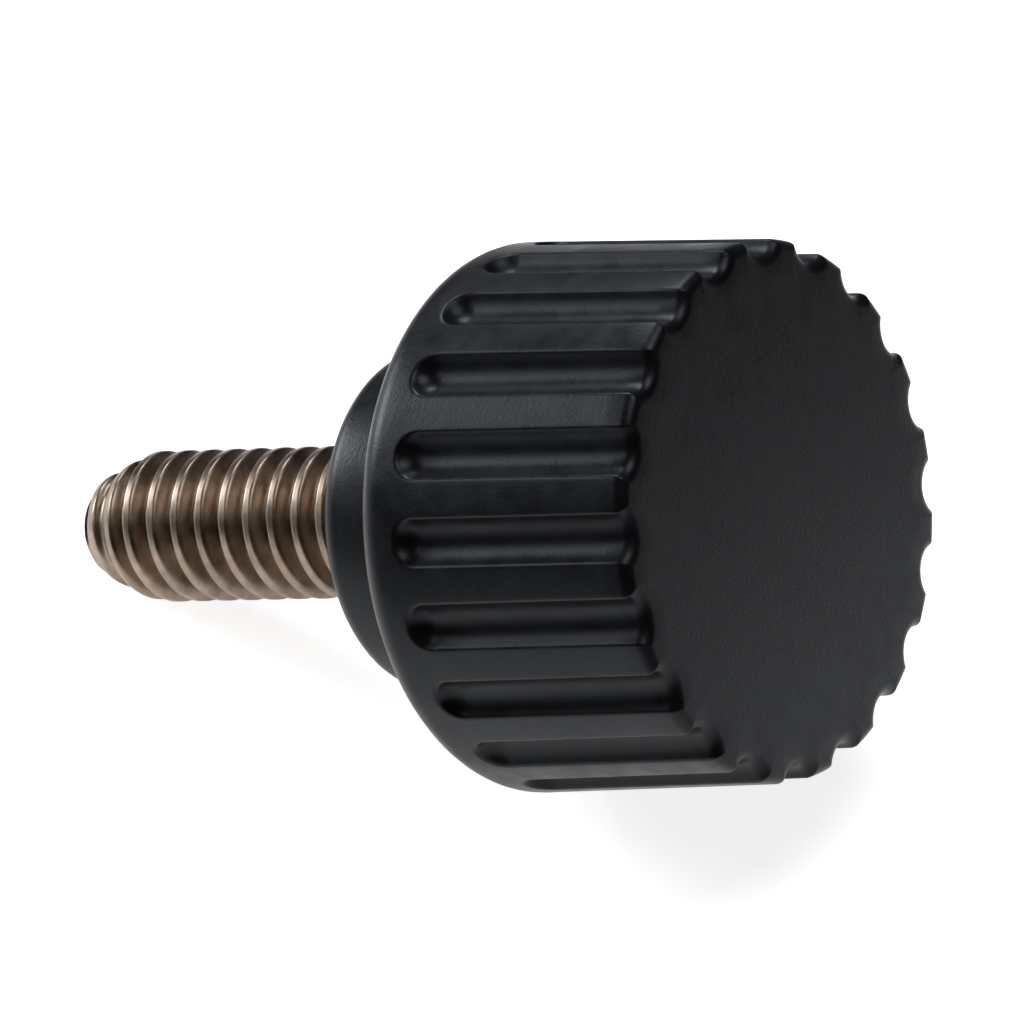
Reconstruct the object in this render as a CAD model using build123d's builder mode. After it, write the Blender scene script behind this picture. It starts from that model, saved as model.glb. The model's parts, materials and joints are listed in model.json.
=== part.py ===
from build123d import *
from math import asin, atan2, cos, hypot, radians, sin, tan
import os

# Thumb screw: a black moulded knob on a metal stud, in millimetres.
# It lies as it comes to rest on a bench, on the back rim of its grip and the tip of its stud.
# z = 0 is the bench, and the origin is below the middle of the whole screw.

# Grip: the fluted round part that the fingers turn
grip_diameter = 22.6
grip_length = 13.3
grip_draft = 1.4
grip_back_round = 1.25
face_edge_chamfer = 0.3

# Flutes: ball-ended grooves that run from near the back of the grip out through its front face
flute_count = 20
flute_radius = 1.05
flute_depth = 0.65
flute_end_gap = 2.0
flute_phase = 9.4

# Boss: the plain collar behind the grip, which bears on the work
boss_diameter = 14.1
boss_length = 5.0
boss_rim_chamfer = 0.6

# Stud: a standard quarter-inch screw, 20 threads to the inch, here at its outside diameter
stud_diameter = 6.35
stud_length = 16.4
tip_diameter = 4.06
tip_taper_length = 2.85

# Anchor: the rest of the metal screw, which the knob is moulded around.
# Its shank is a plain shoulder, a little thicker than the thread, that ends flush with the boss.
shank_diameter = 6.8
shank_in_knob = 9.5
anchor_across_flats = 11.1
anchor_thickness = 4.0

# Radii, and places along the screw's axis counted from the end of the tip
lean = radians(grip_draft)
grip_radius = grip_diameter / 2
face_radius = grip_radius - grip_length * tan(lean)
boss_radius = boss_diameter / 2
stud_radius = stud_diameter / 2
shank_radius = shank_diameter / 2
tip_radius = tip_diameter / 2
boss_end_at = stud_length
grip_back_at = boss_end_at + boss_length
front_face_at = grip_back_at + grip_length
anchor_at = boss_end_at + shank_in_knob

# Tilt of the axis at rest, where a line from the edge of the tip touches the grip's back round
back_round_at = grip_back_at + grip_back_round
back_round_radius = grip_radius - grip_back_round * (1 + sin(lean)) / cos(lean)
contacts_rise = back_round_radius - tip_radius
contacts_apart = hypot(back_round_at, contacts_rise)
rest_tilt = atan2(contacts_rise, back_round_at) + asin(grip_back_round / contacts_apart)

# The tip's place: its edge is on the bench, and the screw reaches as far to one side as to the other
tip_reach = -tip_radius * sin(rest_tilt)
wall_reach = (front_face_at - face_edge_chamfer) * cos(rest_tilt) + face_radius * sin(rest_tilt)
face_reach = front_face_at * cos(rest_tilt) + (face_radius - face_edge_chamfer) * sin(rest_tilt)
tip_x = -(tip_reach + max(wall_reach, face_reach)) / 2
tip_z = tip_radius * cos(rest_tilt)

# Planes at the end of the tip: one is square to the axis, and one holds the axis and a rib's middle
tip_point = (tip_x, 0, tip_z)
axis_direction = (cos(rest_tilt), 0, sin(rest_tilt))
upper_direction = (-sin(rest_tilt), 0, cos(rest_tilt))
screw_axis = Axis(tip_point, axis_direction)
rib_angle = flute_phase + 180 / flute_count
rib_normal = Vector(0, -1, 0).rotate(screw_axis, rib_angle)
tip_plane = Plane(origin=tip_point, x_dir=upper_direction, z_dir=axis_direction)
profile_plane = Plane(origin=tip_point, x_dir=axis_direction, z_dir=rib_normal)

os.makedirs("parts", exist_ok=True)

# Metal screw: tapered tip, threaded length, shank and the six-sided head that the moulding grips
with BuildPart() as threaded_stud:
    with BuildSketch(profile_plane):
        with BuildLine():
            Polyline(
                (0, 0),
                (0, tip_radius),
                (tip_taper_length, stud_radius),
                (boss_end_at, stud_radius),
                (boss_end_at, shank_radius),
                (anchor_at, shank_radius),
                (anchor_at, 0),
                close=True,
            )
        make_face()
    revolve(axis=screw_axis)
    with BuildSketch(tip_plane.offset(anchor_at)):
        RegularPolygon(anchor_across_flats / 2, side_count=6, major_radius=False)
    extrude(amount=anchor_thickness)
threaded_stud.part.label = "threaded_stud"

# Cutter for one flute, on its own upright axis: a rod with a ball end that leans in with the draft
flute_length = grip_length - flute_end_gap
rod_plane = Plane(origin=(0, 0, 0), x_dir=(-sin(lean), 0, cos(lean)), z_dir=(0, -1, 0))
rod_reach = flute_length + flute_radius
with BuildPart() as flute_cutter:
    with BuildSketch(rod_plane):
        with BuildLine():
            CenterArc((0, 0), flute_radius, 90, 90)
            Polyline((0, flute_radius), (rod_reach, flute_radius), (rod_reach, 0), (-flute_radius, 0))
        make_face()
    revolve(axis=Axis((0, 0, 0), (-sin(lean), 0, cos(lean))))

# Knob: one moulding with its round profile, its flutes and the pocket left by the metal screw
ball_centre_at = grip_back_at + flute_end_gap + flute_radius
ball_skin_radius = grip_radius - (ball_centre_at - grip_back_at) * tan(lean)
ball_pitch_radius = ball_skin_radius - flute_depth + flute_radius
with BuildPart() as knob:
    with BuildSketch(profile_plane):
        with BuildLine():
            Polyline(
                (boss_end_at, 0),
                (boss_end_at, boss_radius - boss_rim_chamfer),
                (boss_end_at + boss_rim_chamfer, boss_radius),
                (grip_back_at, boss_radius),
            )
            FilletPolyline(
                (grip_back_at, boss_radius),
                (grip_back_at, grip_radius),
                (front_face_at, face_radius),
                radius=grip_back_round,
            )
            Polyline((front_face_at, face_radius), (front_face_at, 0), (boss_end_at, 0))
        make_face()
    revolve(axis=screw_axis)
    with Locations(tip_plane.offset(ball_centre_at)):
        with PolarLocations(ball_pitch_radius, flute_count, start_angle=flute_phase):
            add(flute_cutter.part, mode=Mode.SUBTRACT)
    front_face = knob.faces().sort_by(screw_axis)[-1]
    chamfer(front_face.outer_wire().edges(), face_edge_chamfer)
    add(threaded_stud.part, mode=Mode.SUBTRACT)
knob.part.label = "knob"

export_step(knob.part, "parts/knob.step")
export_step(threaded_stud.part, "parts/threaded_stud.step")
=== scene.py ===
import bpy
import json
import math
import numpy as np
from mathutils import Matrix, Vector


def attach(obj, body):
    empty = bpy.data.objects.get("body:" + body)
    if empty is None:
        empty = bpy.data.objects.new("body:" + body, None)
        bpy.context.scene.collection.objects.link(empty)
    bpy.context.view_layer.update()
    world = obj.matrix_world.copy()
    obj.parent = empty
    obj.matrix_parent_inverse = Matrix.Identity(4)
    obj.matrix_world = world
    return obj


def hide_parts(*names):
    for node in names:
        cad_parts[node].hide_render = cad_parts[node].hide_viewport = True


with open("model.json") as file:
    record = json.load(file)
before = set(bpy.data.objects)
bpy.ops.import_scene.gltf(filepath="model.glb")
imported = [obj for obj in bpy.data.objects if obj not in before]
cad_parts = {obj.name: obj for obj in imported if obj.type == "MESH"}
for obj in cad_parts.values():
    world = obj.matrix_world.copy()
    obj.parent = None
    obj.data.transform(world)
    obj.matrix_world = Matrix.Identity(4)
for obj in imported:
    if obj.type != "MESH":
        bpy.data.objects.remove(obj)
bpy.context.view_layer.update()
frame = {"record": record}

# Thumb screw: a black moulded knob on a brown-gold threaded stud, lying as it comes to rest.
# Sizes are in metres, and places along the screw's axis are counted from the end of the tip.
MM = 0.001
QUARTER_TURN = math.pi / 2

# The stud and its anchor in the moulding
STUD_RADIUS = 3.175 * MM
STUD_LENGTH = 16.4 * MM
TIP_RADIUS = 2.03 * MM
TIP_TAPER = 2.85 * MM
TIP_EDGE_ROUND = 0.3 * MM
SHANK_RADIUS = 3.4 * MM
SHANK_IN_KNOB = 9.5 * MM
ANCHOR_APOTHEM = 5.55 * MM
ANCHOR_THICKNESS = 4.0 * MM
STUD_COLUMNS = 144
ROWS_PER_PITCH = 26

# The thread, whose flank runs between two shares of the way from mid-crest to mid-root
THREAD_PITCH = 1.27 * MM
THREAD_ROOT_RADIUS = 2.5 * MM
TIP_THREAD_DEPTH = 0.3 * MM
FLANK_START = 0.24
FLANK_END = 0.84
FLANK_EASING = 0.09

# The knob
BOSS_RADIUS = 7.05 * MM
BOSS_LENGTH = 5.0 * MM
BOSS_RIM_ROUND = 0.9 * MM
BOSS_ROOT_ROUND = 0.45 * MM
GRIP_RADIUS = 11.3 * MM
GRIP_LENGTH = 13.3 * MM
GRIP_DRAFT = math.radians(1.4)
GRIP_BACK_ROUND = 1.25 * MM
FACE_EDGE_ROUND = 0.5 * MM
POCKET_GAP = 0.02 * MM
MOUTH_MARGIN = 0.3 * MM

# The flutes, whose ball ends and lips lie within the ball's reach behind its centre
FLUTE_COUNT = 20
FLUTE_RADIUS = 1.05 * MM
FLUTE_DEPTH = 0.65 * MM
FLUTE_END_GAP = 2.0 * MM
FLUTE_LIP_ROUND = 0.2 * MM
SMALLEST_LIP_ROUND = 0.03 * MM
FLUTE_PHASE = math.radians(9.4)
BALL_REACH = 1.15 * FLUTE_RADIUS

# Rings of points over each part of the pieces
TIP_FACE_RINGS = 5
SHANK_RINGS = 6
POCKET_RINGS = 8
BOSS_FACE_RINGS = 7
BOSS_RIM_RINGS = 8
BOSS_WALL_RINGS = 4
BOSS_ROOT_RINGS = 5
GRIP_BACK_RINGS = 4
BACK_ROUND_RINGS = 10
BALL_END_RINGS = 26
GRIP_WALL_RINGS = 12
FACE_EDGE_RINGS = 7
FRONT_FACE_RINGS = 10

# Places along the axis
BOSS_END = STUD_LENGTH
GRIP_BACK = BOSS_END + BOSS_LENGTH
FRONT_FACE = GRIP_BACK + GRIP_LENGTH
ANCHOR_START = BOSS_END + SHANK_IN_KNOB
ANCHOR_END = ANCHOR_START + ANCHOR_THICKNESS
BALL_CENTRE = GRIP_BACK + FLUTE_END_GAP + FLUTE_RADIUS

# Colours, each between a darker and a lighter tone
PLASTIC_DARK = (0.0045, 0.0047, 0.0056, 1)
PLASTIC_LIGHT = (0.0078, 0.0081, 0.0095, 1)
PLASTIC_SHEEN = (0.86, 0.92, 1.0, 1)
METAL_DARK = (0.17, 0.125, 0.095, 1)
METAL_LIGHT = (0.36, 0.28, 0.22, 1)
FLOOR_COLOUR = (0.9, 0.9, 0.9, 1)

# Studio: the floor glows at one strength inside the pool's inner radius and another beyond its outer one, a
# painted pool of light round the screw
FLOOR_HALF = 1.5
FLOOR_GLOW = 0.85
FAR_GLOW = 0.0
POOL_MIDDLE = (0.006, 0.014, 0)
POOL_INNER = 0.044
POOL_OUTER = 0.078
WORLD_STRENGTH = 0.01
LAMP_AIM = (0, 0, 0.012)
COOL_LIGHT = (0.92, 0.96, 1.0)
PLAIN_LIGHT = (1.0, 1.0, 1.0)
WHITE = (1, 1, 1, 1)

# Camera: the axis point this far behind the front face shows at the reference pixel of a square picture
VIEW_AZIMUTH = math.radians(29.82)
VIEW_ELEVATION = math.radians(37.74)
VIEW_DISTANCE = 442.0 * MM
PICTURE_SIDE = 1020
PIXELS_PER_METRE = 24425
REFERENCE_PIXEL = (527.4, 517.4)
REFERENCE_BEHIND_FACE = 12.8 * MM


# Frame of the screw: the record's stud mount gives the axis.
# The mount's place is midway along the stud's full diameter.
def screw_frame():
    stud = next(m for m in frame["record"]["mounts"] if m["name"] == "stud")
    along = -Vector(stud["axis"]).normalized()
    midway = TIP_TAPER + (STUD_LENGTH - TIP_TAPER) / 2
    tip = Vector(stud["pos_m"]) - along * midway
    side = Vector((0, -1, 0))
    upper = side.cross(along)
    return tip, along, upper, side


TIP, ALONG, UPPER, SIDE = screw_frame()


def axis_point(along):
    return np.array(TIP + ALONG * along)


def place(along, radius, angle):
    """Points in the frame from places along the axis, radii and angles about it, as arrays."""
    across = radius * np.cos(angle)
    sideways = radius * np.sin(angle)
    amounts = ((along, ALONG), (across, UPPER), (sideways, SIDE))
    return np.array(TIP) + sum(np.multiply.outer(amount, np.array(axis)) for amount, axis in amounts)


def steps(start, end, count):
    """Evenly spaced values after the start, up to and with the end."""
    return np.linspace(start, end, count + 1)[1:]


# One closed mesh from rings of equally many points, capped by a point at each end
def mesh_from_rings(name, rings, first_point, last_point, material, sharp_degrees):
    count = len(rings[0])
    points = np.vstack([first_point[None, :]] + list(rings) + [last_point[None, :]])
    faces = []
    last = len(points) - 1
    last_ring = last - count
    for column in range(count):
        beside = (column + 1) % count
        faces.append((0, 1 + beside, 1 + column))
        for ring in range(1, last_ring, count):
            after = ring + count
            faces.append((ring + column, ring + beside, after + beside, after + column))
        faces.append((last, last_ring + column, last_ring + beside))
    mesh = bpy.data.meshes.new(name)
    mesh.from_pydata(points.tolist(), [], faces)
    mesh.validate()
    mesh.shade_smooth()
    mesh.set_sharp_from_angle(angle=math.radians(sharp_degrees))
    mesh.materials.append(material)
    piece = bpy.data.objects.new(name, mesh)
    bpy.context.scene.collection.objects.link(piece)
    return piece


# Section of a flute: a round rod's groove with rounded lips, in the grip's wall.
# The front edge's rounding moves wall, rod and lip inwards together.
class FluteSection:
    def __init__(self, inset):
        self.rod = FLUTE_RADIUS + inset
        self.above = FLUTE_RADIUS - FLUTE_DEPTH + inset
        self.lip = max(FLUTE_LIP_ROUND - inset, SMALLEST_LIP_ROUND)
        self.lip_middle = math.sqrt((self.rod + self.lip) ** 2 - (self.above + self.lip) ** 2)
        self.contact = self.rod * self.lip_middle / (self.rod + self.lip)

    def depth(self, distance):
        """Depth below the wall at distances from the flute's middle line."""
        rod_part = np.sqrt(np.maximum(self.rod**2 - distance**2, 0)) - self.above
        from_lip = np.clip(self.lip_middle - distance, 0, self.lip)
        lip_part = self.lip - np.sqrt(self.lip**2 - from_lip**2)
        return np.where(distance < self.contact, rod_part, np.where(distance < self.lip_middle, lip_part, 0))

    def stations(self, half_pitch, rod_steps, lip_steps, land_steps):
        """Distances from the middle of the flute to the middle of the rib, closest at the lip."""
        rod_angles = np.linspace(0, math.asin(self.contact / self.rod), rod_steps + 1)
        lip_start = math.asin(min((self.lip_middle - self.contact) / self.lip, 1))
        on_rod = self.rod * np.sin(rod_angles)
        on_lip = self.lip_middle - self.lip * np.sin(steps(lip_start, 0, lip_steps))
        on_land = steps(self.lip_middle, half_pitch, land_steps)
        return np.concatenate([on_rod, on_lip, on_land])


# One ring of the fluted wall: its radius and angle at each column, for a wall radius and an inset
def fluted_ring(wall_radius, inset, before_ball):
    section = FluteSection(inset)
    half_pitch = math.pi / FLUTE_COUNT * wall_radius
    half = section.stations(half_pitch, rod_steps=7, lip_steps=5, land_steps=5)
    offsets = np.concatenate([-half[::-1][:-1], half[:-1]])
    distances = np.hypot(offsets, before_ball)
    radii = wall_radius - section.depth(distances)
    pitch_angles = offsets / wall_radius
    turns = FLUTE_PHASE + 2 * math.pi / FLUTE_COUNT * np.arange(FLUTE_COUNT)
    angles = (turns[:, None] + pitch_angles[None, :]).ravel()
    return np.tile(radii, FLUTE_COUNT), angles


def hexagon_radius(angles):
    """Radius of the six-sided anchor at angles about the axis."""
    return ANCHOR_APOTHEM / np.cos((angles + math.pi / 6) % (math.pi / 3) - math.pi / 6)


def wall_radius_at(along):
    """Radius of the grip's wall, which its draft makes smaller towards the front face."""
    return GRIP_RADIUS - (along - GRIP_BACK) * math.tan(GRIP_DRAFT)


# The knob's rings, from the anchor's pocket out over the boss and the grip to the front face
def knob_rings():
    face_radius = wall_radius_at(FRONT_FACE)
    angles = fluted_ring(face_radius, 0, 2 * FLUTE_RADIUS)[1]
    rings = []

    def add(along, radius, ring_angles=angles):
        rings.append(place(np.full(len(ring_angles), along), radius * np.ones(len(ring_angles)), ring_angles))

    # Pocket
    pocket_hexagon = hexagon_radius(angles) + POCKET_GAP
    pocket_radius = SHANK_RADIUS + POCKET_GAP
    add(ANCHOR_END + POCKET_GAP, pocket_hexagon)
    add(ANCHOR_START - POCKET_GAP, pocket_hexagon)
    add(ANCHOR_START - POCKET_GAP, pocket_radius)
    for along in np.linspace(ANCHOR_START - 2 * POCKET_GAP, BOSS_END, POCKET_RINGS):
        add(along, pocket_radius)

    # Boss: end face, rim, wall and root
    for radius in np.linspace(SHANK_RADIUS + MOUTH_MARGIN, BOSS_RADIUS - BOSS_RIM_ROUND, BOSS_FACE_RINGS):
        add(BOSS_END, radius)
    for turn in steps(0, QUARTER_TURN, BOSS_RIM_RINGS):
        along = BOSS_END + BOSS_RIM_ROUND * (1 - math.cos(turn))
        add(along, BOSS_RADIUS - BOSS_RIM_ROUND * (1 - math.sin(turn)))
    for along in steps(BOSS_END + BOSS_RIM_ROUND, GRIP_BACK - BOSS_ROOT_ROUND, BOSS_WALL_RINGS):
        add(along, BOSS_RADIUS)
    for turn in steps(0, QUARTER_TURN, BOSS_ROOT_RINGS):
        along = GRIP_BACK - BOSS_ROOT_ROUND * (1 - math.sin(turn))
        add(along, BOSS_RADIUS + BOSS_ROOT_ROUND * (1 - math.cos(turn)))

    # Grip: back, back round, ball ends of the flutes, fluted wall and front edge
    round_middle = GRIP_RADIUS - GRIP_BACK_ROUND * (1 + math.sin(GRIP_DRAFT)) / math.cos(GRIP_DRAFT)
    for radius in steps(BOSS_RADIUS + BOSS_ROOT_ROUND, round_middle, GRIP_BACK_RINGS):
        add(GRIP_BACK, radius)
    for turn in steps(0, QUARTER_TURN + GRIP_DRAFT, BACK_ROUND_RINGS):
        along = GRIP_BACK + GRIP_BACK_ROUND * (1 - math.cos(turn))
        add(along, round_middle + GRIP_BACK_ROUND * math.sin(turn))
    for before_ball in np.linspace(BALL_REACH, 0, BALL_END_RINGS):
        along = BALL_CENTRE - before_ball
        add(along, *fluted_ring(wall_radius_at(along), 0, before_ball))
    for along in steps(BALL_CENTRE, FRONT_FACE - FACE_EDGE_ROUND, GRIP_WALL_RINGS):
        add(along, *fluted_ring(wall_radius_at(along), 0, 0))
    for turn in steps(0, QUARTER_TURN, FACE_EDGE_RINGS):
        inset = FACE_EDGE_ROUND * (1 - math.cos(turn))
        along = FRONT_FACE - FACE_EDGE_ROUND * (1 - math.sin(turn))
        radii, ring_angles = fluted_ring(face_radius - inset, inset, 0)
        add(along, radii, ring_angles)

    # Front face, whose rings grow rounder towards its middle
    for share in np.linspace(1, 0, FRONT_FACE_RINGS + 2)[1:-1]:
        evened = share * radii + (share - share**2) * (radii.mean() - radii)
        add(FRONT_FACE, evened, ring_angles)
    return rings


# The thread: sloping flanks between a narrow crest and a rounded root, less deep where the tip tapers
def thread_radius(along, angle, outer_radius):
    turn = (along / THREAD_PITCH - angle / (2 * math.pi)) % 1
    from_crest = np.abs(turn - 0.5) * 2
    depth = outer_radius - min(THREAD_ROOT_RADIUS, outer_radius - TIP_THREAD_DEPTH)
    slope = np.clip((from_crest - FLANK_START) / (FLANK_END - FLANK_START), 0, 1)
    eased = slope - FLANK_EASING * np.sin(2 * math.pi * slope)
    return outer_radius - depth * eased


# The stud's rings, from the end of the tip to the six-sided anchor in the knob
def stud_rings():
    angles = 2 * math.pi * np.arange(STUD_COLUMNS) / STUD_COLUMNS
    rings = []

    def add(along, radius):
        rings.append(place(np.full(STUD_COLUMNS, along), radius * np.ones(STUD_COLUMNS), angles))

    for radius in steps(0, TIP_RADIUS - TIP_EDGE_ROUND, TIP_FACE_RINGS):
        add(0, radius)
    row_count = int(ROWS_PER_PITCH * STUD_LENGTH / THREAD_PITCH)
    for along in np.linspace(0, STUD_LENGTH, row_count)[1:]:
        cone = TIP_RADIUS + (STUD_RADIUS - TIP_RADIUS) * min(along / TIP_TAPER, 1)
        from_edge = max(TIP_EDGE_ROUND - along, 0)
        edge = TIP_EDGE_ROUND - math.sqrt(max(TIP_EDGE_ROUND**2 - from_edge**2, 0))
        add(along, thread_radius(along, angles, cone) - edge)
    for along in np.linspace(STUD_LENGTH, ANCHOR_START, SHANK_RINGS):
        add(along, SHANK_RADIUS)
    add(ANCHOR_START, hexagon_radius(angles))
    add(ANCHOR_END, hexagon_radius(angles))
    return rings


# A material and its nodes, made and joined by short calls
class Finish:
    def __init__(self, name):
        self.material = bpy.data.materials.new(name)
        self.material.use_nodes = True
        self.tree = self.material.node_tree
        self.shader = self.tree.nodes["Principled BSDF"]

    def node(self, kind, **settings):
        made = self.tree.nodes.new(kind)
        for key, value in settings.items():
            if key in made.inputs:
                made.inputs[key].default_value = value
            else:
                setattr(made, key, value)
        return made

    def join(self, output, socket):
        self.tree.links.new(output, socket)

    def drive(self, socket, output):
        """Join an output to a socket of the shader."""
        self.join(output, self.shader.inputs[socket])

    def constant(self, socket, value):
        self.shader.inputs[socket].default_value = value

    def object_place(self):
        return self.node("ShaderNodeTexCoord").outputs["Object"]

    def noise(self, where, scale, detail, roughness):
        made = self.node("ShaderNodeTexNoise", Scale=scale, Detail=detail, Roughness=roughness)
        self.join(where, made.inputs["Vector"])
        return made.outputs["Fac"]

    def combine(self, operation, first, second):
        made = self.node("ShaderNodeMath", operation=operation)
        self.join(first, made.inputs[0])
        self.join(second, made.inputs[1])
        return made.outputs[0]

    def spread(self, value, low, high, from_low=0.3, from_high=0.7, kind="LINEAR"):
        """A value brought from one range to another."""
        ends = {"From Min": from_low, "From Max": from_high, "To Min": low, "To Max": high}
        made = self.node("ShaderNodeMapRange", interpolation_type=kind, **ends)
        self.join(value, made.inputs["Value"])
        return made.outputs["Result"]

    def ramp(self, value, low, low_colour, high, high_colour):
        made = self.node("ShaderNodeValToRGB")
        made.color_ramp.elements[0].position = low
        made.color_ramp.elements[0].color = low_colour
        made.color_ramp.elements[1].position = high
        made.color_ramp.elements[1].color = high_colour
        self.join(value, made.inputs["Fac"])
        return made.outputs["Color"]


# Dull black moulding with a fine grain, slightly uneven in tone and sheen
def black_plastic():
    finish = Finish("black_plastic")
    where = finish.object_place()
    grain = finish.noise(where, scale=6500, detail=3, roughness=0.6)
    patches = finish.noise(where, scale=900, detail=4, roughness=0.6)
    clouds = finish.noise(where, scale=160, detail=3, roughness=0.5)
    colour = finish.ramp(patches, 0.3, PLASTIC_DARK, 0.75, PLASTIC_LIGHT)
    dullness = finish.combine("ADD", finish.spread(patches, 0.0, 0.12), finish.spread(clouds, 0.28, 0.34))
    bump = finish.node("ShaderNodeBump", Strength=0.4, Distance=0.00002)
    finish.join(grain, bump.inputs["Height"])
    finish.drive("Base Color", colour)
    finish.drive("Roughness", dullness)
    finish.drive("Normal", bump.outputs["Normal"])
    finish.constant("Specular IOR Level", 0.22)
    finish.constant("Specular Tint", PLASTIC_SHEEN)
    return finish.material


# Brown-gold metal, patchy in tone and sheen
def stud_metal():
    finish = Finish("stud_metal")
    patches = finish.noise(finish.object_place(), scale=900, detail=4, roughness=0.6)
    finish.drive("Base Color", finish.ramp(patches, 0.3, METAL_DARK, 0.72, METAL_LIGHT))
    finish.drive("Roughness", finish.spread(patches, 0.28, 0.46, from_low=0.0, from_high=1.0))
    finish.constant("Metallic", 1.0)
    return finish.material


# Pale floor. Its glow shows only to the camera and in what is reflected or seen through.
# The glow is a painted pool of light that fades with distance, so the knob's face shows a painted reflection
# of a light floor nearby and a darker one far off.
def floor():
    finish = Finish("pale_floor")
    rays = finish.node("ShaderNodeLightPath")
    seen = finish.combine("MAXIMUM", rays.outputs["Is Camera Ray"], rays.outputs["Is Glossy Ray"])
    shown = finish.combine("MAXIMUM", seen, rays.outputs["Is Transmission Ray"])
    away = finish.node("ShaderNodeVectorMath", operation="DISTANCE")
    finish.join(finish.object_place(), away.inputs[0])
    away.inputs[1].default_value = POOL_MIDDLE
    # Painted pool of light: the glow's strength falls from FLOOR_GLOW near POOL_MIDDLE to FAR_GLOW beyond
    # POOL_OUTER
    painted_light_pool = finish.spread(away.outputs["Value"], FLOOR_GLOW, FAR_GLOW, POOL_INNER, POOL_OUTER, "SMOOTHERSTEP")
    finish.drive("Emission Strength", finish.combine("MULTIPLY", shown, painted_light_pool))
    finish.constant("Emission Color", WHITE)
    finish.constant("Base Color", FLOOR_COLOUR)
    finish.constant("Roughness", 0.9)
    finish.constant("Specular IOR Level", 0.1)

    half = FLOOR_HALF
    corners = [(-half, -half, 0), (half, -half, 0), (half, half, 0), (-half, half, 0)]
    mesh = bpy.data.meshes.new("floor")
    mesh.from_pydata(corners, [], [(0, 1, 2, 3)])
    mesh.materials.append(finish.material)
    piece = bpy.data.objects.new("floor", mesh)
    bpy.context.scene.collection.objects.link(piece)


# Round soft lamp that faces the screw, from angles in degrees and a distance in metres.
# Its strength is the light that reaches a surface there that faces it, where 1 shows a colour as written.
def soft_lamp(name, azimuth, elevation, distance, size, strength, colour):
    turn = math.radians(azimuth)
    rise = math.radians(elevation)
    toward = Vector((math.cos(rise) * math.cos(turn), math.cos(rise) * math.sin(turn), math.sin(rise)))
    lamp = bpy.data.lights.new(name, "AREA")
    lamp.shape = "DISK"
    lamp.size = size
    lamp.energy = strength * math.pi**2 * distance**2
    lamp.color = colour
    holder = bpy.data.objects.new(name, lamp)
    holder.location = Vector(LAMP_AIM) + toward * distance
    holder.rotation_euler = (-toward).to_track_quat("-Z", "Y").to_euler()
    bpy.context.scene.collection.objects.link(holder)


# A broad lamp low on the left, and three small ones so close to the screw that they fade fast beyond it
def studio_light():
    world = bpy.data.worlds.new("studio")
    bpy.context.scene.world = world
    world.use_nodes = True
    background = world.node_tree.nodes["Background"]
    background.inputs["Color"].default_value = WHITE
    background.inputs["Strength"].default_value = WORLD_STRENGTH
    soft_lamp("left_lamp", 182, 15, distance=0.6, size=0.22, strength=0.68, colour=COOL_LIGHT)
    soft_lamp("rear_lamp", 135, 45, distance=0.12, size=0.05, strength=0.40, colour=COOL_LIGHT)
    soft_lamp("front_lamp", 220, 38, distance=0.12, size=0.05, strength=0.10, colour=PLAIN_LIGHT)
    soft_lamp("overhead_lamp", 20, 74, distance=0.11, size=0.07, strength=0.38, colour=PLAIN_LIGHT)


# Looks down on the resting screw from the front right, through a long lens
def camera():
    sin_a, cos_a = math.sin(VIEW_AZIMUTH), math.cos(VIEW_AZIMUTH)
    sin_e, cos_e = math.sin(VIEW_ELEVATION), math.cos(VIEW_ELEVATION)
    back = Vector((sin_a * cos_e, -cos_a * cos_e, sin_e))
    right = Vector((cos_a, sin_a, 0))
    up = back.cross(right)
    middle = PICTURE_SIDE / 2
    shift_right = (middle - REFERENCE_PIXEL[0]) / PIXELS_PER_METRE
    shift_up = (REFERENCE_PIXEL[1] - middle) / PIXELS_PER_METRE
    reference = TIP + ALONG * (FRONT_FACE - REFERENCE_BEHIND_FACE)
    target = reference + right * shift_right + up * shift_up
    lens = bpy.data.cameras.new("camera")
    lens.sensor_width = 36
    lens.lens = PIXELS_PER_METRE * VIEW_DISTANCE * lens.sensor_width / PICTURE_SIDE
    lens.clip_start = 0.01
    lens.clip_end = 10
    holder = bpy.data.objects.new("camera", lens)
    holder.location = target + back * VIEW_DISTANCE
    holder.rotation_mode = "QUATERNION"
    holder.rotation_quaternion = (-back).to_track_quat("-Z", "Y")
    bpy.context.scene.collection.objects.link(holder)
    bpy.context.scene.camera = holder


pocket_end = axis_point(ANCHOR_END + POCKET_GAP)
face_middle = axis_point(FRONT_FACE)
plastic = black_plastic()
knob = mesh_from_rings("moulded_knob", knob_rings(), pocket_end, face_middle, plastic, sharp_degrees=50)
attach(knob, "root")
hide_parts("knob")

tip_end = axis_point(0)
anchor_end = axis_point(ANCHOR_END)
metal = stud_metal()
stud = mesh_from_rings("rolled_stud", stud_rings(), tip_end, anchor_end, metal, sharp_degrees=60)
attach(stud, "root")
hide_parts("threaded_stud")

floor()
studio_light()
camera()
bpy.context.scene.view_settings.view_transform = "Standard"
